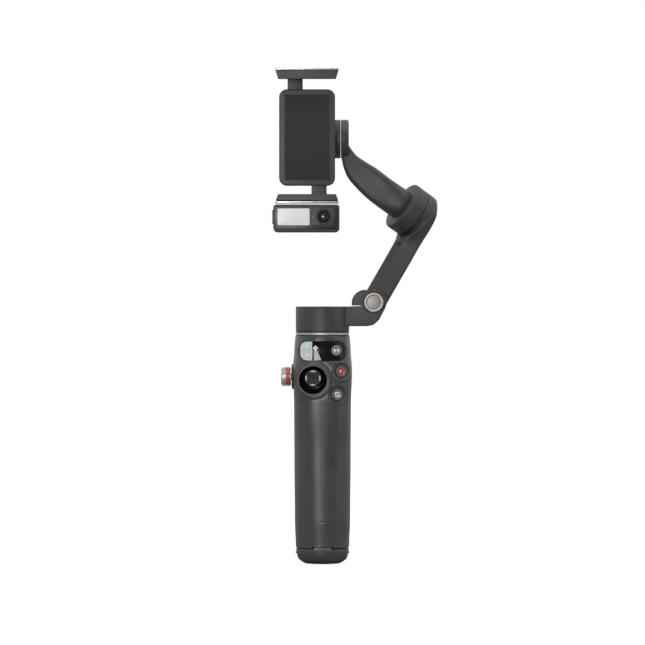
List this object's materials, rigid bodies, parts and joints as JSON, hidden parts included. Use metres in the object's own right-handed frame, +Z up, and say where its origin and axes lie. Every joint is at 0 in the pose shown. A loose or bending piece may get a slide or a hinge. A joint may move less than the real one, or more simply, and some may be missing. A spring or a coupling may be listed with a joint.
{
  "type": "camera gimbal",
  "caption": "Hand-held folding three-axis phone gimbal with joystick handle, telescopic rod, pull-out tripod, spring clamp and light module.",
  "frame": {"origin": "middle of the handle's foot, on the pan axis, at the mouth of the tripod socket", "axes": "+Z up along the handle and the pan axis, -Y the side with the joystick and display, +X the side where the folding arm stands"},
  "size_m": [0.1069, 0.0543, 0.318],
  "materials": {
    "soft_grip": "soft-touch dark grey, fine grain",
    "arm_paint": "fine-textured dark grey, satin",
    "black_plastic": "black, satin",
    "bright_metal": "brushed and turned, champagne silver",
    "steel": "turned steel",
    "brass": "machined brass",
    "copper": "copper windings on an iron core",
    "rubber": "matt black rubber",
    "red": "red anodised ring",
    "diffuser": "translucent white light panel",
    "board": "green solder mask",
    "glass": "black glossy display window"
  },
  "bodies": {
    "handle": {"front_shell": "soft_grip", "rear_shell": "soft_grip", "tripod_post": "steel", "socket_insert": "brass", "display_window": "glass", "joystick_bezel": "black_plastic", "wheel_boss": "rubber", "control_board": "board", "battery": "black_plastic", "rod_sleeve": "steel", "usb_port": "steel", "trigger_pin": "steel"},
    "mode_button": {"mode_button": "black_plastic"},
    "record_button": {"record_button": "soft_grip"},
    "switch_button": {"switch_button": "soft_grip"},
    "stick_yoke": {"joystick_yoke": "steel"},
    "stick_cap": {"joystick_cap": "rubber"},
    "zoom_wheel": {"zoom_wheel": "bright_metal", "wheel_red_ring": "red"},
    "trigger": {"trigger": "black_plastic"},
    "rod_1": {"rod_tube_1": "steel"},
    "rod_2": {"rod_tube_2": "steel"},
    "rod_3": {"rod_tube_3": "steel"},
    "rod_head": {"rod_tube_4": "steel", "head_base": "arm_paint", "silver_ring": "bright_metal", "pan_stator": "copper", "pan_bearing": "steel"},
    "lower_arm": {"lower_arm": "arm_paint", "pan_shaft": "steel", "pan_magnets": "steel", "hinge_pin": "steel", "fold_knob": "bright_metal"},
    "upper_arm": {"upper_arm": "arm_paint", "roll_stator": "copper", "roll_bearing": "steel"},
    "link": {"roll_cup": "arm_paint", "roll_shaft": "steel", "link_arm": "arm_paint", "tilt_cup": "arm_paint", "tilt_stator": "copper"},
    "phone_mount": {"tilt_rotor": "arm_paint", "mount_plate": "steel"},
    "clamp": {"clamp_body": "arm_paint", "back_pad": "rubber"},
    "clamp_pinion": {"clamp_pinion": "brass"},
    "top_jaw": {"top_jaw": "arm_paint", "top_pad": "rubber", "top_trim": "bright_metal"},
    "bottom_jaw": {"bottom_jaw": "arm_paint", "bottom_pad": "rubber", "bottom_trim": "bright_metal"},
    "module": {"module_shell": "arm_paint", "diffuser": "diffuser", "lens_barrel": "black_plastic"},
    "module_button": {"module_button": "black_plastic"},
    "tripod": {"tripod_carriage": "black_plastic"},
    "leg_front": {"leg_front": "arm_paint"},
    "leg_left": {"leg_left": "arm_paint"},
    "leg_right": {"leg_right": "arm_paint"}
  },
  "joints": [
    {"name": "mode_press", "type": "slide", "parent": "handle", "child": "mode_button", "axis": [0, 1, 0], "range_m": [0, 0.0008], "stiffness_N_per_m": 400},
    {"name": "record_press", "type": "slide", "parent": "handle", "child": "record_button", "axis": [0, 1, 0], "range_m": [0, 0.0008], "stiffness_N_per_m": 400},
    {"name": "switch_press", "type": "slide", "parent": "handle", "child": "switch_button", "axis": [0, 1, 0], "range_m": [0, 0.0008], "stiffness_N_per_m": 400},
    {"name": "stick_pitch", "type": "hinge", "parent": "handle", "child": "stick_yoke", "pos_m": [-0.0061, -0.0131, 0.1195], "axis": [1, 0, 0], "range_deg": [-12, 12], "stiffness_Nm_per_rad": 0.02},
    {"name": "stick_yaw", "type": "hinge", "parent": "stick_yoke", "child": "stick_cap", "pos_m": [-0.0061, -0.0131, 0.1195], "axis": [0, 0, 1], "range_deg": [-12, 12], "stiffness_Nm_per_rad": 0.02},
    {"name": "wheel_spin", "type": "hinge", "parent": "handle", "child": "zoom_wheel", "pos_m": [-0.02, 0, 0.1203], "axis": [1, 0, 0], "continuous": true},
    {"name": "trigger_pull", "type": "hinge", "parent": "handle", "child": "trigger", "pos_m": [0, 0.016, 0.1315], "axis": [-1, 0, 0], "range_deg": [0, 7], "stiffness_Nm_per_rad": 0.05},
    {"name": "rod_extend", "type": "slide", "parent": "handle", "child": "rod_1", "axis": [0, 0, 1], "range_m": [0, 0.0535]},
    {"name": "rod_extend_2", "type": "slide", "parent": "rod_1", "child": "rod_2", "axis": [0, 0, 1], "range_m": [0, 0.0536]},
    {"name": "rod_extend_3", "type": "slide", "parent": "rod_2", "child": "rod_3", "axis": [0, 0, 1], "range_m": [0, 0.0536]},
    {"name": "rod_extend_4", "type": "slide", "parent": "rod_3", "child": "rod_head", "axis": [0, 0, 1], "range_m": [0, 0.0536]},
    {"name": "pan", "type": "hinge", "parent": "rod_head", "child": "lower_arm", "pos_m": [0, 0, 0.1493], "axis": [0, 0, 1], "range_deg": [-161, 173]},
    {"name": "arm_fold", "type": "hinge", "parent": "lower_arm", "child": "upper_arm", "pos_m": [0.033, 0, 0.168], "axis": [0, 1, 0], "range_deg": [0, 150]},
    {"name": "roll", "type": "hinge", "parent": "upper_arm", "child": "link", "pos_m": [0.059, 0.0154, 0.22575], "axis": [-0.778, -0.309, 0.547], "range_deg": [-120, 212]},
    {"name": "tilt", "type": "hinge", "parent": "link", "child": "phone_mount", "pos_m": [-0.0099, 0.013, 0.2741], "axis": [1, 0, 0], "range_deg": [-102, 79]},
    {"name": "clamp_pull", "type": "slide", "parent": "phone_mount", "child": "clamp", "axis": [0, -1, 0], "range_m": [0, 0.02]},
    {"name": "clamp_open", "type": "slide", "parent": "clamp", "child": "top_jaw", "axis": [0, 0, 1], "range_m": [-0.005, 0.0035]},
    {"name": "clamp_open_lower", "type": "slide", "parent": "clamp", "child": "bottom_jaw", "axis": [0, 0, -1], "range_m": [-0.0051, 0.0036]},
    {"name": "pinion_spin", "type": "hinge", "parent": "clamp", "child": "clamp_pinion", "pos_m": [-0.0099, -0.0048, 0.2741], "axis": [0, 1, 0], "range_deg": [-103, 72]},
    {"name": "module_pull", "type": "slide", "parent": "bottom_jaw", "child": "module", "axis": [0, 0, -1], "range_m": [0, 0.01]},
    {"name": "module_press", "type": "slide", "parent": "module", "child": "module_button", "axis": [1, 0, 0], "range_m": [0, 0.0006], "stiffness_N_per_m": 400},
    {"name": "tripod_slide", "type": "slide", "parent": "handle", "child": "tripod", "axis": [0, 0, -1], "range_m": [0, 0.054]},
    {"name": "leg_front_spread", "type": "hinge", "parent": "tripod", "child": "leg_front", "pos_m": [0, -0.0072, 0.066], "axis": [-1, 0, 0], "range_deg": [0, 21]},
    {"name": "leg_right_spread", "type": "hinge", "parent": "tripod", "child": "leg_right", "pos_m": [0.00624, 0.0036, 0.066], "axis": [0.5, -0.866, 0], "range_deg": [0, 21]},
    {"name": "leg_left_spread", "type": "hinge", "parent": "tripod", "child": "leg_left", "pos_m": [-0.00624, 0.0036, 0.066], "axis": [0.5, 0.866, 0], "range_deg": [0, 21]}
  ],
  "couplings": [
    {"joint": "rod_extend_2", "follows": "rod_extend", "ratio": 1},
    {"joint": "rod_extend_3", "follows": "rod_extend", "ratio": 1},
    {"joint": "rod_extend_4", "follows": "rod_extend", "ratio": 1},
    {"joint": "clamp_open_lower", "follows": "clamp_open", "ratio": 1},
    {"joint": "pinion_spin", "follows": "clamp_open", "rad_per_m": 357.14},
    {"joint": "leg_front_spread", "follows": "tripod_slide", "rad_per_m": 6.6},
    {"joint": "leg_right_spread", "follows": "tripod_slide", "rad_per_m": 6.6},
    {"joint": "leg_left_spread", "follows": "tripod_slide", "rad_per_m": 6.6}
  ]
}
